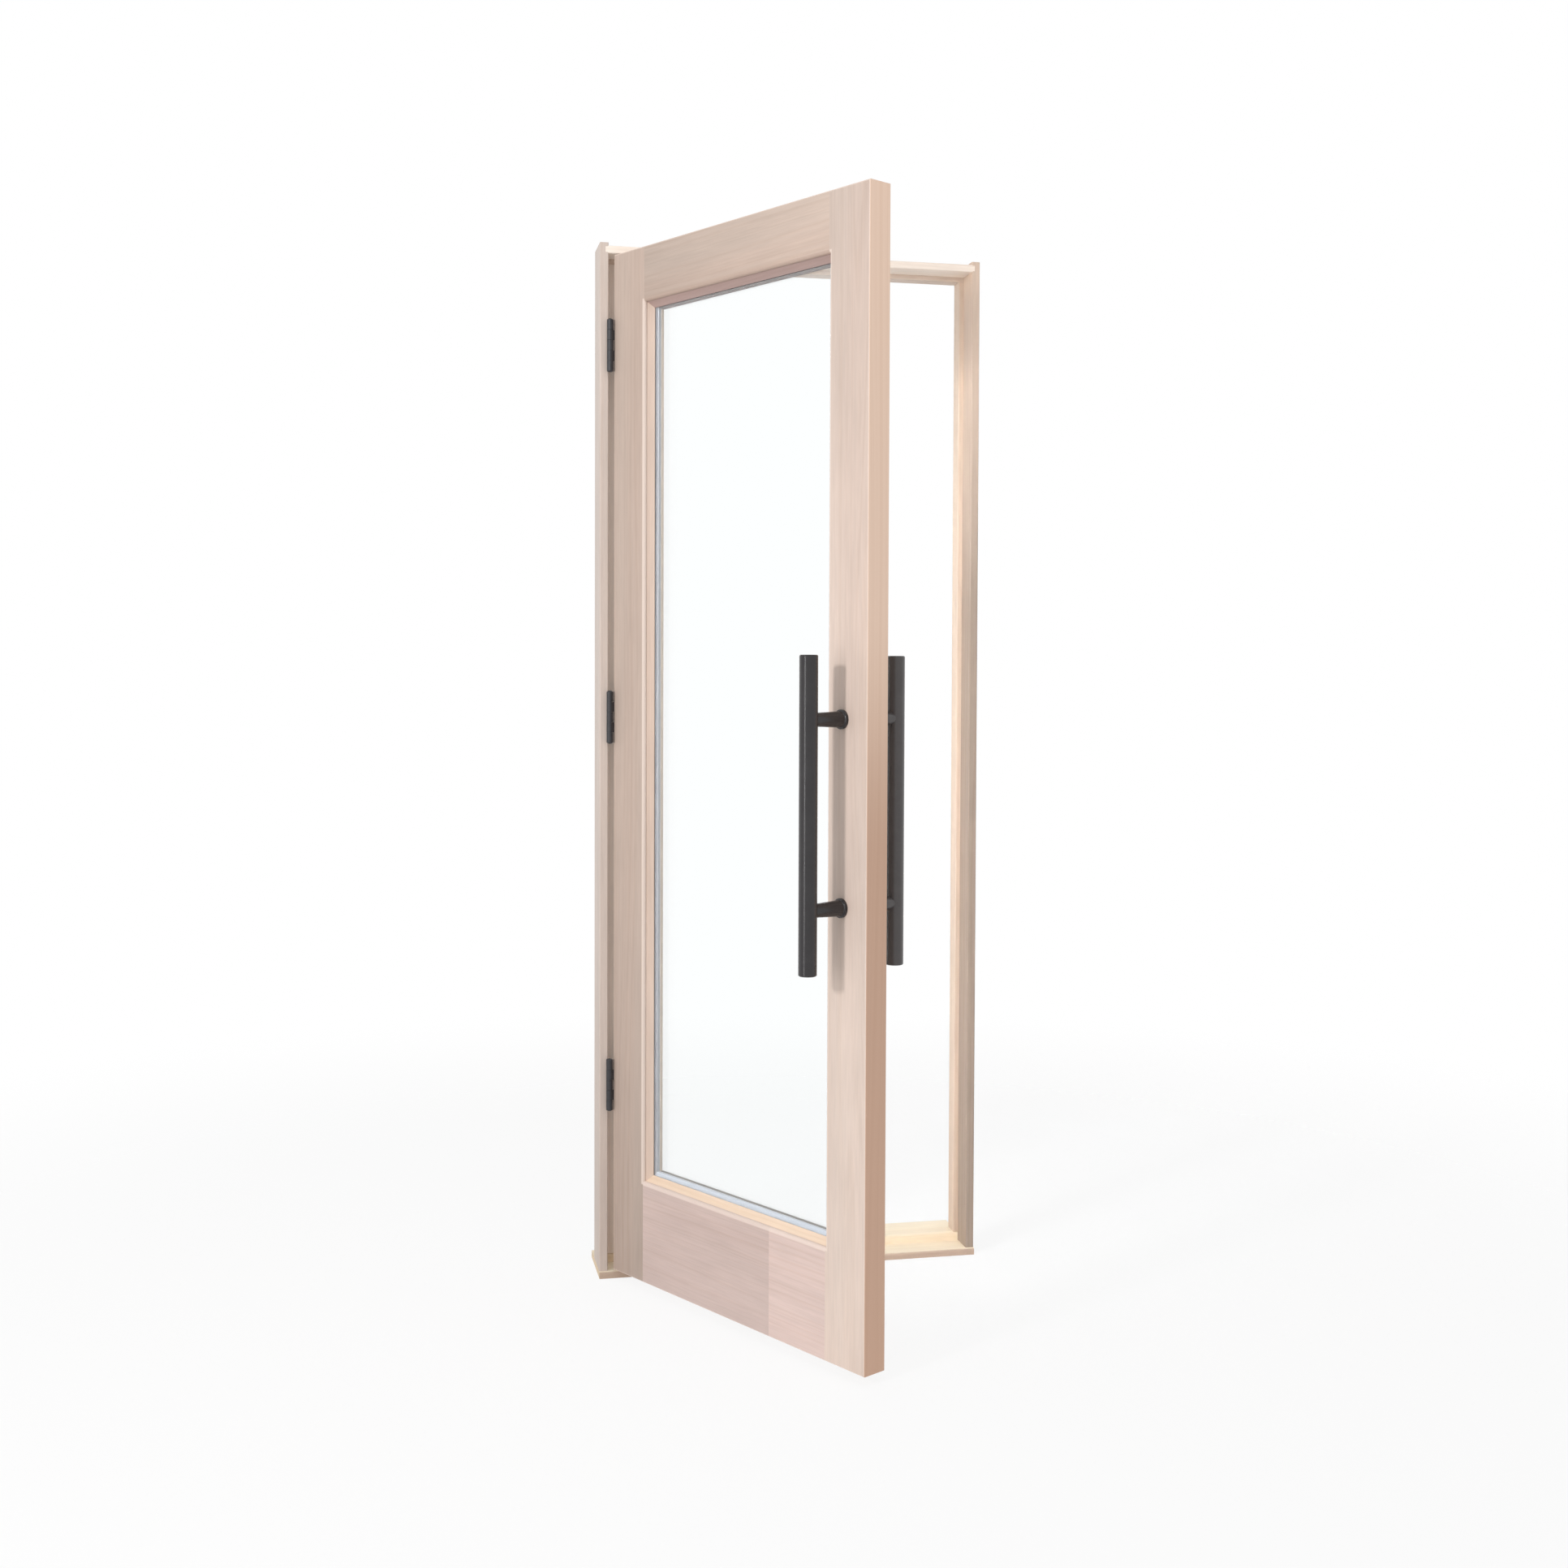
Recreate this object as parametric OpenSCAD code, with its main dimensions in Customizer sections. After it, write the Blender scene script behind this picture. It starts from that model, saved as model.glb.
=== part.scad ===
// Glazed timber sauna door in its frame, hung on three butt hinges and opened by a pair of
// tubular pulls. The frame stands in the XZ plane: the leaf opens towards -Y, about a pin line
// in front of the hinge jamb. The leaf is drawn closed and then turned to its rest angle.

/* [Frame] */
// Outer width of the frame
frame_w = 790; // [600:1:1000]
// Overall height of the frame from the underside of the sill to the top of the head
frame_h = 2071; // [1800:1:2400]
// Depth of the jambs, through the wall
frame_depth = 92; // [75:1:160]
// Thickness of the two side jambs
jamb_t = 17; // [14:0.5:30]
// Thickness of the head
head_t = 15; // [12:0.5:30]
// How deep the ends of the head are housed in the jambs
housing_d = 6; // [3:0.5:8]
// How far the side jambs run up past the head
horn_h = 6; // [2:1:30]
// How far the door stops stand in from the jambs
stop_t = 10; // [8:0.5:20]
// Radius of the eased arrises of the frame and the leaf
ease_r = 2; // [1:0.5:3]

/* [Sill] */
// Thickness of the sill under the jambs
sill_t = 14; // [10:0.5:25]
// How far the sill runs on behind the jambs
sill_out = 48; // [10:1:80]
// Radius of the rounded nose of the sill, which stands in front of the jambs
sill_nose_r = 5; // [2:0.5:8]
// How far the raised back of the sill stands over its tread
sill_step_h = 18; // [10:0.5:25]
// Radius of the rounded front of the raised back
step_nose_r = 4; // [2:0.5:8]

/* [Leaf] */
// Thickness of the leaf
leaf_t = 51; // [44:0.5:58]
// Gap round the closed leaf
leaf_gap = 5; // [5:0.5:8]
// Width of both stiles
stile_w = 102; // [90:1:130]
// Height of the top rail
top_rail_h = 107; // [90:1:140]
// Height of the bottom rail
bottom_rail_h = 200; // [150:1:300]
// Bevel of the latch stile's edge, in degrees
lock_bevel = 3; // [2.5:0.5:4]
// Radius of the rounded arris round the glass
arris_r = 6; // [2:0.5:6.5]
// Depth of the stub tenons that join the rails to the stiles
tenon_l = 40; // [20:1:60]
// Thickness of the stub tenons
tenon_t = 14; // [10:0.5:16]
// How far the tenons stand back from the top and bottom of the leaf
tenon_haunch = 20; // [10:1:30]
// How far the tenons stand back from the rebate for the glass
tenon_shoulder = 10; // [5:1:20]

/* [Glazing] */
// Thickness of each pane
pane_t = 4; // [3:0.5:6]
// Thickness of the spacer between the panes
spacer_t = 12; // [8:0.5:14]
// Width of the spacer bar, seen from the front
spacer_w = 10.5; // [6:0.5:11]
// Depth from the outer face of the leaf to the beads
lip_t = 7; // [6.5:0.5:9]
// Thickness of the outer beads, from the lip to the glass
outer_bead_t = 11; // [8:0.5:12]
// How far the beads and the glass reach into the stiles and rails
pocket_w = 12; // [10:0.5:16]
// Clearance round the edge of the glass
glass_gap = 0.5; // [0.3:0.1:3]
// Width of the faces of the vee joints along the beads
bead_vee = 1.2; // [0.5:0.1:2]

/* [Hinges] */
// Height of each hinge
hinge_h = 102; // [76:1:127]
// Width of each hinge plate, from the face of the timber inwards
plate_w = 38; // [25:1:42]
// Thickness of the hinge plates
plate_t = 2.5; // [2:0.1:3.5]
// Radius of the two inner corners of each plate
plate_corner_r = 6; // [2:1:12]
// Outer radius of the knuckles
barrel_r = 6.5; // [5.5:0.1:7]
// Radius of the hinge pins
pin_r = 3; // [2.5:0.1:4]
// Running clearance of the pins
pin_fit = 0.05; // [0.03:0.01:0.1]
// Height of the domed heads of the pins
pin_head_h = 2.5; // [1:0.5:4]
// How far the pin heads stand in from the outside of the knuckles
pin_head_in = 0.5; // [0.2:0.1:1.5]
// Distance of the pin line in front of the frame
pin_out = 7.5; // [7.2:0.1:10]
// Height of the centre of the bottom hinge over the floor
low_hinge_z = 394; // [200:1:500]
// Distance from the top of the leaf down to the centre of the top hinge
top_hinge_drop = 179; // [120:1:400]
// Gap between two knuckles
knuckle_gap = 0.4; // [0.3:0.1:1]

/* [Pulls] */
// Length of each pull bar
bar_l = 545; // [400:1:800]
// Radius of each pull bar
bar_r = 16; // [12:0.5:20]
// Chamfer round both ends of a pull bar
bar_ease = 1.5; // [0.5:0.5:3]
// Height of the middle of the pull bars over the floor
bar_z = 980; // [800:1:1200]
// Distance from the leaf's face to the middle of a pull bar
bar_out = 76; // [55:1:100]
// Distance from the leaf's latch edge to the pulls
bar_inset = 64; // [45:1:80]
// Distance between the two posts of a pull
post_pitch = 325; // [200:1:380]
// Radius of a post where it meets the bar
post_r = 11.5; // [8:0.5:12]
// Radius of a post where it meets its collar
post_foot_r = 14; // [12:0.5:14.5]
// Radius of the collar on the leaf
collar_r = 17; // [16:0.5:22]
// Thickness of the collar
collar_t = 5; // [3:0.5:8]
// Chamfer round the collar
collar_ease = 1; // [0.5:0.25:1]

/* [Pose] */
// How far the leaf stands open at rest, in degrees
rest_angle = 62; // [0:1:160]

/* [Hidden] */
$fn = 64;
knuckles = 5;
hinge_names = ["bottom", "middle", "top"];
knuckle_h = hinge_h / knuckles;
eps = 1;
sill_y0 = -sill_nose_r;
sill_y1 = frame_depth + sill_out;
step_z = sill_t + sill_step_h;
head_z = frame_h - head_t;
jamb_top = frame_h + horn_h;
rabbet_d = leaf_t + leaf_gap;
leaf_x0 = jamb_t + leaf_gap;
leaf_x1 = frame_w - jamb_t - leaf_gap;
leaf_z0 = sill_t + leaf_gap;
leaf_z1 = head_z - leaf_gap;
open_x0 = leaf_x0 + stile_w;
open_x1 = leaf_x1 - stile_w;
open_z0 = leaf_z0 + bottom_rail_h;
open_z1 = leaf_z1 - top_rail_h;
pane_y = lip_t + outer_bead_t;
unit_t = 2 * pane_t + spacer_t;
axis_x = jamb_t + leaf_gap / 2;
axis_y = -pin_out;
top_hinge_z = leaf_z1 - top_hinge_drop;
hinge_z = [low_hinge_z, (low_hinge_z + top_hinge_z) / 2, top_hinge_z];
bar_x = leaf_x1 - bar_inset;
foot_fillet_r = collar_r - post_foot_r - collar_ease;
mount_z = frame_h / 2;

// The origin lies on the outer face of the hinge jamb, at its middle
module in_wall() {
    translate([0, -frame_depth / 2, -mount_z]) children();
}

// Turns what is drawn on the closed leaf to the rest angle
module on_leaf() {
    in_wall()
        translate([axis_x, axis_y, 0]) rotate([0, 0, -rest_angle]) translate([-axis_x, -axis_y, 0])
            children();
}

// A box between two corners
module span(low, high) {
    translate(low) cube(high - low);
}

// A rectangle with its four corners eased
module eased(w, h) {
    translate([ease_r, 0]) square([w - 2 * ease_r, h]);
    translate([0, ease_r]) square([w, h - 2 * ease_r]);
    for (x = [ease_r, w - ease_r], y = [ease_r, h - ease_r])
        translate([x, y]) circle(ease_r);
}

// A rectangle with the two corners at its far end rounded
module round_ended(w, h, r) {
    square([w - r, h]);
    translate([0, r]) square([w, h - 2 * r]);
    for (y = [r, h - r])
        translate([w - r, y]) circle(r);
}

// A rectangle with its upper near corner rounded
module nosed(w, h, r) {
    translate([r, 0]) square([w - r, h]);
    square([w, h - r]);
    translate([r, h - r]) circle(r);
}

// Runs a profile of depth and height along X, from x0 to x1
module along_x(x0, x1) {
    translate([x0, 0, 0]) rotate([90, 0, 90]) linear_extrude(x1 - x0) children();
}

// The gap between two members across X, rounded open at both faces of the leaf across Y, with
// a vee along each bead
module flared_gap(low, high) {
    difference() {
        union() {
            translate([low, -eps]) square([high - low, leaf_t + 2 * eps]);
            translate([low - arris_r, -eps]) square([high - low + 2 * arris_r, arris_r + eps]);
            translate([low - arris_r, leaf_t - arris_r])
                square([high - low + 2 * arris_r, arris_r + eps]);
        }
        for (x = [low - arris_r, high + arris_r], y = [arris_r, leaf_t - arris_r])
            translate([x, y]) circle(arris_r);
    }
    for (x = [low, high], y = [lip_t, pane_y, pane_y + unit_t])
        translate([x, y]) rotate(45) square(bead_vee, center = true);
}

// The window in the leaf, with rounded arrises that meet in mitres
module sash_opening() {
    intersection() {
        linear_extrude(frame_h) flared_gap(open_x0, open_x1);
        rotate([90, 0, 90]) linear_extrude(frame_w) mirror([1, -1]) flared_gap(open_z0, open_z1);
    }
}

// The rebate for the beads and the glass, open to the inner face
module glass_pocket() {
    span([open_x0 - pocket_w, lip_t, open_z0 - pocket_w],
         [open_x1 + pocket_w, leaf_t + eps, open_z1 + pocket_w]);
}

// A jamb with its outer face at x, housed for the end of the head
module jamb(x) {
    difference() {
        translate([x, 0, sill_t]) linear_extrude(jamb_top - sill_t) eased(jamb_t, frame_depth);
        head_board();
    }
}

module head_board() {
    along_x(jamb_t - housing_d, frame_w - jamb_t + housing_d)
        translate([0, head_z]) eased(frame_depth, head_t);
}

// The outline of a hinge plate at height z, from depth y0 inwards, as a plate with one face at x
module plate_blank(x, y0, z) {
    along_x(x, x + plate_t)
        translate([y0, z - hinge_h / 2]) round_ended(plate_w - y0, hinge_h, plate_corner_r);
}

// The recesses that three hinge plates lie in
module plate_recesses(x) {
    for (z = hinge_z)
        plate_blank(x, -eps, z);
}

module hinge_jamb() {
    color("#dccab8") in_wall() difference() {
        jamb(0);
        plate_recesses(jamb_t - plate_t);
    }
}

module latch_jamb() {
    color("#dccab8") in_wall() jamb(frame_w - jamb_t);
}

module head_jamb() {
    color("#f4e4d2") in_wall() head_board();
}

module sill() {
    color("#f9e8cf") in_wall() along_x(0, frame_w)
        translate([sill_y0, 0]) nosed(sill_y1 - sill_y0, sill_t, sill_nose_r);
}

module sill_step() {
    color("#f9e8cf") in_wall() along_x(jamb_t, frame_w - jamb_t)
        translate([rabbet_d, sill_t]) nosed(sill_y1 - rabbet_d, sill_step_h, step_nose_r);
}

module stop_profile() {
    round_ended(stop_t, frame_depth - rabbet_d, ease_r);
}

module side_stop() {
    translate([0, rabbet_d, step_z]) linear_extrude(head_z - stop_t - step_z) stop_profile();
}

module hinge_side_stop() {
    color("#d9c6b4") in_wall() translate([jamb_t, 0, 0]) side_stop();
}

module latch_side_stop() {
    color("#d9c6b4") in_wall() translate([frame_w - jamb_t, 0, 0]) mirror([1, 0, 0]) side_stop();
}

module head_stop() {
    color("#c9b6a4") in_wall() along_x(jamb_t, frame_w - jamb_t)
        translate([rabbet_d, head_z]) rotate(-90) stop_profile();
}

// The leaf in plan, square at the hinges and bevelled at the latch, with eased arrises
module leaf_plan() {
    across = ease_r * cos(lock_bevel);
    along = ease_r * sin(lock_bevel);
    hinge_x = leaf_x0 + ease_r;
    back_y = leaf_t - ease_r;
    front_x = leaf_x1 - (ease_r + along) / cos(lock_bevel);
    back_x = leaf_x1 - ease_r / cos(lock_bevel) - back_y * tan(lock_bevel);
    polygon([
        [leaf_x0, ease_r], [hinge_x, 0], [front_x, 0], [front_x + across, ease_r + along],
        [back_x + across, back_y + along], [back_x, leaf_t], [hinge_x, leaf_t], [leaf_x0, back_y]
    ]);
    for (corner = [[hinge_x, ease_r], [front_x, ease_r], [back_x, back_y], [hinge_x, back_y]])
        translate(corner) circle(ease_r);
}

// The part of the leaf that lies between two corners, less the window and the rebate round it
module member(low, high) {
    difference() {
        intersection() {
            linear_extrude(frame_h) leaf_plan();
            along_x(0, frame_w) translate([0, leaf_z0]) eased(leaf_t, leaf_z1 - leaf_z0);
            span(low, high);
        }
        sash_opening();
        glass_pocket();
    }
}

// The stub tenons of both rails
module rail_tenons() {
    for (x = [open_x0, open_x1]) {
        tenon(x, leaf_z0 + tenon_haunch, open_z0 - pocket_w - tenon_shoulder);
        tenon(x, open_z1 + pocket_w + tenon_shoulder, leaf_z1 - tenon_haunch);
    }
}

module tenon(x, z0, z1) {
    span([x - tenon_l, (leaf_t - tenon_t) / 2, z0], [x + tenon_l, (leaf_t + tenon_t) / 2, z1]);
}

module hinge_stile() {
    color("#c8b4a4") on_leaf() difference() {
        member([0, -eps, 0], [open_x0, leaf_t + eps, frame_h]);
        rail_tenons();
        plate_recesses(leaf_x0);
    }
}

module latch_stile() {
    color("#dcc8b8") on_leaf() difference() {
        member([open_x1, -eps, 0], [frame_w, leaf_t + eps, frame_h]);
        rail_tenons();
    }
}

// A rail between heights z0 and z1, with its tenons
module rail(z0, z1) {
    member([open_x0, -eps, z0], [open_x1, leaf_t + eps, z1]);
    intersection() {
        rail_tenons();
        span([0, 0, z0], [frame_w, leaf_t, z1]);
    }
}

module top_rail() {
    color("#cdb9a9") on_leaf() rail(open_z1, leaf_z1);
}

module bottom_rail() {
    color("#c3afa8") on_leaf() rail(leaf_z0, open_z0);
}

// One pane, with its outer face at depth y
module pane(y) {
    reach = pocket_w - glass_gap;
    span([open_x0 - reach, y, open_z0 - reach], [open_x1 + reach, y + pane_t, open_z1 + reach]);
}

module outer_pane() {
    color("#dfeeee", 0.35) on_leaf() pane(pane_y);
}

module inner_pane() {
    color("#dfeeee", 0.35) on_leaf() pane(pane_y + pane_t + spacer_t);
}

module glass_spacer() {
    reach = pocket_w - glass_gap;
    hold = reach - spacer_w;
    y0 = pane_y + pane_t;
    color("#a0a6aa") on_leaf() difference() {
        span([open_x0 - reach, y0, open_z0 - reach], [open_x1 + reach, y0 + spacer_t, open_z1 + reach]);
        span([open_x0 - hold, y0 - eps, open_z0 - hold],
             [open_x1 + hold, y0 + spacer_t + eps, open_z1 + hold]);
    }
}

// The ring of beads between depths y0 and y1
module bead_ring(y0, y1) {
    difference() {
        span([open_x0 - pocket_w, y0, open_z0 - pocket_w], [open_x1 + pocket_w, y1, open_z1 + pocket_w]);
        sash_opening();
    }
}

// The wedge that holds an upright bead, between its two mitres
module upright_wedge(x, side) {
    mid = (open_x1 - open_x0) / 2 + pocket_w;
    rotate([90, 0, 0]) translate([0, 0, -leaf_t - eps]) linear_extrude(leaf_t + 2 * eps)
        polygon([[x, open_z0 - pocket_w], [x, open_z1 + pocket_w],
                 [x + side * mid, open_z1 + pocket_w - mid], [x + side * mid, open_z0 - pocket_w + mid]]);
}

// The wedge that holds a level bead, between its two mitres
module level_wedge(z, side) {
    mid = (open_x1 - open_x0) / 2 + pocket_w;
    rotate([90, 0, 0]) translate([0, 0, -leaf_t - eps]) linear_extrude(leaf_t + 2 * eps)
        polygon([[open_x0 - pocket_w, z], [open_x1 + pocket_w, z],
                 [open_x0 - pocket_w + mid, z + side * mid]]);
}

module upright_bead(x, side, y0, y1) {
    intersection() {
        bead_ring(y0, y1);
        upright_wedge(x, side);
    }
}

module level_bead(z, side, y0, y1) {
    intersection() {
        bead_ring(y0, y1);
        level_wedge(z, side);
    }
}

// The four beads between depths y0 and y1
module hinge_bead(y0, y1) { upright_bead(open_x0 - pocket_w, 1, y0, y1); }
module latch_bead(y0, y1) { upright_bead(open_x1 + pocket_w, -1, y0, y1); }
module top_bead(y0, y1) { level_bead(open_z1 + pocket_w, -1, y0, y1); }
module bottom_bead(y0, y1) { level_bead(open_z0 - pocket_w, 1, y0, y1); }

module outer_hinge_bead() { color("#e6cbaa") on_leaf() hinge_bead(lip_t, pane_y); }
module outer_latch_bead() { color("#e6cbaa") on_leaf() latch_bead(lip_t, pane_y); }
module outer_top_bead() { color("#cbb39b") on_leaf() top_bead(lip_t, pane_y); }
module outer_bottom_bead() { color("#f0ddc4") on_leaf() bottom_bead(lip_t, pane_y); }
module inner_hinge_bead() { color("#e6cbaa") on_leaf() hinge_bead(pane_y + unit_t, leaf_t); }
module inner_latch_bead() { color("#e6cbaa") on_leaf() latch_bead(pane_y + unit_t, leaf_t); }
module inner_top_bead() { color("#cbb39b") on_leaf() top_bead(pane_y + unit_t, leaf_t); }
module inner_bottom_bead() { color("#f0ddc4") on_leaf() bottom_bead(pane_y + unit_t, leaf_t); }

// One hinge plate with its knuckles. side is -1 for the plate on the jamb, 1 for that on the leaf
module hinge_plate(i, side) {
    x0 = side < 0 ? jamb_t - plate_t : leaf_x0;
    z0 = hinge_z[i] - hinge_h / 2;
    first = side < 0 ? 0 : 1;
    difference() {
        union() {
            plate_blank(x0, 0, hinge_z[i]);
            for (k = [first:2:knuckles - 1]) {
                kz = z0 + k * knuckle_h + knuckle_gap / 2;
                span([x0, axis_y, kz], [x0 + plate_t, eps, kz + knuckle_h - knuckle_gap]);
                translate([axis_x, axis_y, kz]) cylinder(h = knuckle_h - knuckle_gap, r = barrel_r);
            }
        }
        translate([axis_x, axis_y, z0 - eps]) cylinder(h = hinge_h + 2 * eps, r = pin_r + pin_fit);
    }
}

module bottom_jamb_hinge_plate() { color("#3c3c41") in_wall() hinge_plate(0, -1); }
module middle_jamb_hinge_plate() { color("#3c3c41") in_wall() hinge_plate(1, -1); }
module top_jamb_hinge_plate() { color("#3c3c41") in_wall() hinge_plate(2, -1); }
module bottom_leaf_hinge_plate() { color("#3c3c41") on_leaf() hinge_plate(0, 1); }
module middle_leaf_hinge_plate() { color("#3c3c41") on_leaf() hinge_plate(1, 1); }
module top_leaf_hinge_plate() { color("#3c3c41") on_leaf() hinge_plate(2, 1); }

// The domed head of a pin, which covers the end of the barrel
module pin_head() {
    base_r = barrel_r - pin_head_in;
    dome_r = (base_r * base_r + pin_head_h * pin_head_h) / (2 * pin_head_h);
    intersection() {
        translate([0, 0, pin_head_h - dome_r]) sphere(dome_r);
        span([-barrel_r, -barrel_r, 0], [barrel_r, barrel_r, pin_head_h + eps]);
    }
}

// A pin through all the knuckles of a hinge, headed at both ends
module hinge_pin(i) {
    translate([axis_x, axis_y, hinge_z[i]]) {
        translate([0, 0, -hinge_h / 2]) cylinder(h = hinge_h, r = pin_r);
        for (end = [0, 1])
            mirror([0, 0, end]) translate([0, 0, hinge_h / 2 - knuckle_gap / 2]) pin_head();
    }
}

module bottom_hinge_pin() { color("#3c3c41") in_wall() hinge_pin(0); }
module middle_hinge_pin() { color("#3c3c41") in_wall() hinge_pin(1); }
module top_hinge_pin() { color("#3c3c41") in_wall() hinge_pin(2); }

// What is drawn on the outer face, or mirrored to the inner one
module on_face(side) {
    translate([0, side < 0 ? 0 : leaf_t, 0]) mirror([0, side < 0 ? 0 : 1, 0]) children();
}

module pull_bar(side) {
    on_face(side) translate([bar_x, -bar_out, bar_z - bar_l / 2]) {
        cylinder(h = bar_ease, r1 = bar_r - bar_ease, r2 = bar_r);
        translate([0, 0, bar_ease]) cylinder(h = bar_l - 2 * bar_ease, r = bar_r);
        translate([0, 0, bar_l - bar_ease]) cylinder(h = bar_ease, r1 = bar_r, r2 = bar_r - bar_ease);
    }
}

// A post and its collar, turned about Z with the foot at the origin
module turned_post() {
    cylinder(h = collar_t - collar_ease, r = collar_r);
    translate([0, 0, collar_t - collar_ease])
        cylinder(h = collar_ease, r1 = collar_r, r2 = collar_r - collar_ease);
    rotate_extrude() difference() {
        translate([0, collar_t]) square([post_foot_r + foot_fillet_r, foot_fillet_r]);
        translate([post_foot_r + foot_fillet_r, collar_t + foot_fillet_r]) circle(foot_fillet_r);
    }
    translate([0, 0, collar_t + foot_fillet_r])
        cylinder(h = bar_out - collar_t - foot_fillet_r, r1 = post_foot_r, r2 = post_r);
}

// A post at height z, scribed to the bar that it carries
module post(side, z) {
    on_face(side) difference() {
        translate([bar_x, 0, z]) rotate([90, 0, 0]) turned_post();
        translate([bar_x, -bar_out, z - 2 * collar_r]) cylinder(h = 4 * collar_r, r = bar_r);
    }
}

module outer_pull_bar() { color("#4b494a") on_leaf() pull_bar(-1); }
module inner_pull_bar() { color("#4b494a") on_leaf() pull_bar(1); }
module outer_upper_post() { color("#4b494a") on_leaf() post(-1, bar_z + post_pitch / 2); }
module outer_lower_post() { color("#4b494a") on_leaf() post(-1, bar_z - post_pitch / 2); }
module inner_upper_post() { color("#4b494a") on_leaf() post(1, bar_z + post_pitch / 2); }
module inner_lower_post() { color("#4b494a") on_leaf() post(1, bar_z - post_pitch / 2); }

hinge_jamb();
latch_jamb();
head_jamb();
sill();
hinge_side_stop();
latch_side_stop();
head_stop();
sill_step();
bottom_jamb_hinge_plate();
middle_jamb_hinge_plate();
top_jamb_hinge_plate();
bottom_hinge_pin();
middle_hinge_pin();
top_hinge_pin();
hinge_stile();
latch_stile();
top_rail();
bottom_rail();
outer_pane();
inner_pane();
glass_spacer();
outer_hinge_bead();
outer_latch_bead();
outer_top_bead();
outer_bottom_bead();
inner_hinge_bead();
inner_latch_bead();
inner_top_bead();
inner_bottom_bead();
bottom_leaf_hinge_plate();
middle_leaf_hinge_plate();
top_leaf_hinge_plate();
outer_pull_bar();
inner_pull_bar();
outer_upper_post();
outer_lower_post();
inner_upper_post();
inner_lower_post();
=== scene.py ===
import math

import bmesh
import bpy
from mathutils import Matrix, Vector


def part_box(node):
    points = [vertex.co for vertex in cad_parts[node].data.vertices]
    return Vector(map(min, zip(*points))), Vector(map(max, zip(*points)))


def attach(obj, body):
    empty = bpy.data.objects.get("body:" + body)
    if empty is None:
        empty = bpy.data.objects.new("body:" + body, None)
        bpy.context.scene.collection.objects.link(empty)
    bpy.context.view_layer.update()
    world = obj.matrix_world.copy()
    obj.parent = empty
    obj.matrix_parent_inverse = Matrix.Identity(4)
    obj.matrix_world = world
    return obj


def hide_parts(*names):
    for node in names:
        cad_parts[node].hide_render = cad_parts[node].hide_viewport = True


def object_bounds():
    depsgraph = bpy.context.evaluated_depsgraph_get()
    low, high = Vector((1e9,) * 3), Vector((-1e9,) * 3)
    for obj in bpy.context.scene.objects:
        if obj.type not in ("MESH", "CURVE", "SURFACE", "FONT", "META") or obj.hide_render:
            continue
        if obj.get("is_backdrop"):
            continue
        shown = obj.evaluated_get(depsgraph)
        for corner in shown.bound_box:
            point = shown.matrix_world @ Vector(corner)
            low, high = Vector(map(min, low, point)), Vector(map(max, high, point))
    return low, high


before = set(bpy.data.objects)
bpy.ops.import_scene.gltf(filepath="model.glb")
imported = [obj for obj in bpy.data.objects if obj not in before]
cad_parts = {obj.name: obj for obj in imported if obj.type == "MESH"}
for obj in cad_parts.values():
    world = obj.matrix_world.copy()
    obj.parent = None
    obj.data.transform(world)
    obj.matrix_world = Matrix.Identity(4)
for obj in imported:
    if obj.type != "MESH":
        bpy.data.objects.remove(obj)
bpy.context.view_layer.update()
print("sauna door: frame loaded, %d solids" % len(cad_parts))

# the leaf stands open at rest; its boards are laid out as if it were shut
leafHang = {"openAngle": 62.0, "pinX": 0.0195, "pinY": -0.0535}
leafTurn = Matrix.Rotation(math.radians(-leafHang["openAngle"]), 4, "Z")
leafPin = Vector((leafHang["pinX"], leafHang["pinY"], 0.0))


def leafPoint(x, y, z):
    # from shut-leaf coordinates to where the open leaf has that point
    return leafTurn @ (Vector((x, y, z)) - leafPin) + leafPin


def linearColour(hexText):
    channels = []
    for start in (0, 2, 4):
        value = int(hexText[start:start + 2], 16) / 255.0
        channels.append(value / 12.92 if value <= 0.04045 else ((value + 0.055) / 1.055) ** 2.4)
    return (*channels, 1.0)


def addNode(tree, kind, values=None, links=None, **settings):
    node = tree.nodes.new(kind)
    for name, setting in settings.items():
        setattr(node, name, setting)
    for key, value in (values or {}).items():
        node.inputs[key].default_value = value
    for key, source in (links or {}).items():
        tree.links.new(source, node.inputs[key])
    return node


def newMaterial(name):
    material = bpy.data.materials.new(name)
    material.use_nodes = True
    material.node_tree.nodes.clear()
    return material, material.node_tree


def dress(material, *nodeNames):
    for nodeName in nodeNames:
        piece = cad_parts[nodeName]
        if not piece.material_slots:
            piece.data.materials.append(material)
        for materialSlot in piece.material_slots:
            materialSlot.material = material


# ---- timber: planed hemlock, clear-sealed: pale, faintly pink, soft uneven rings, a low satin sheen

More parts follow.
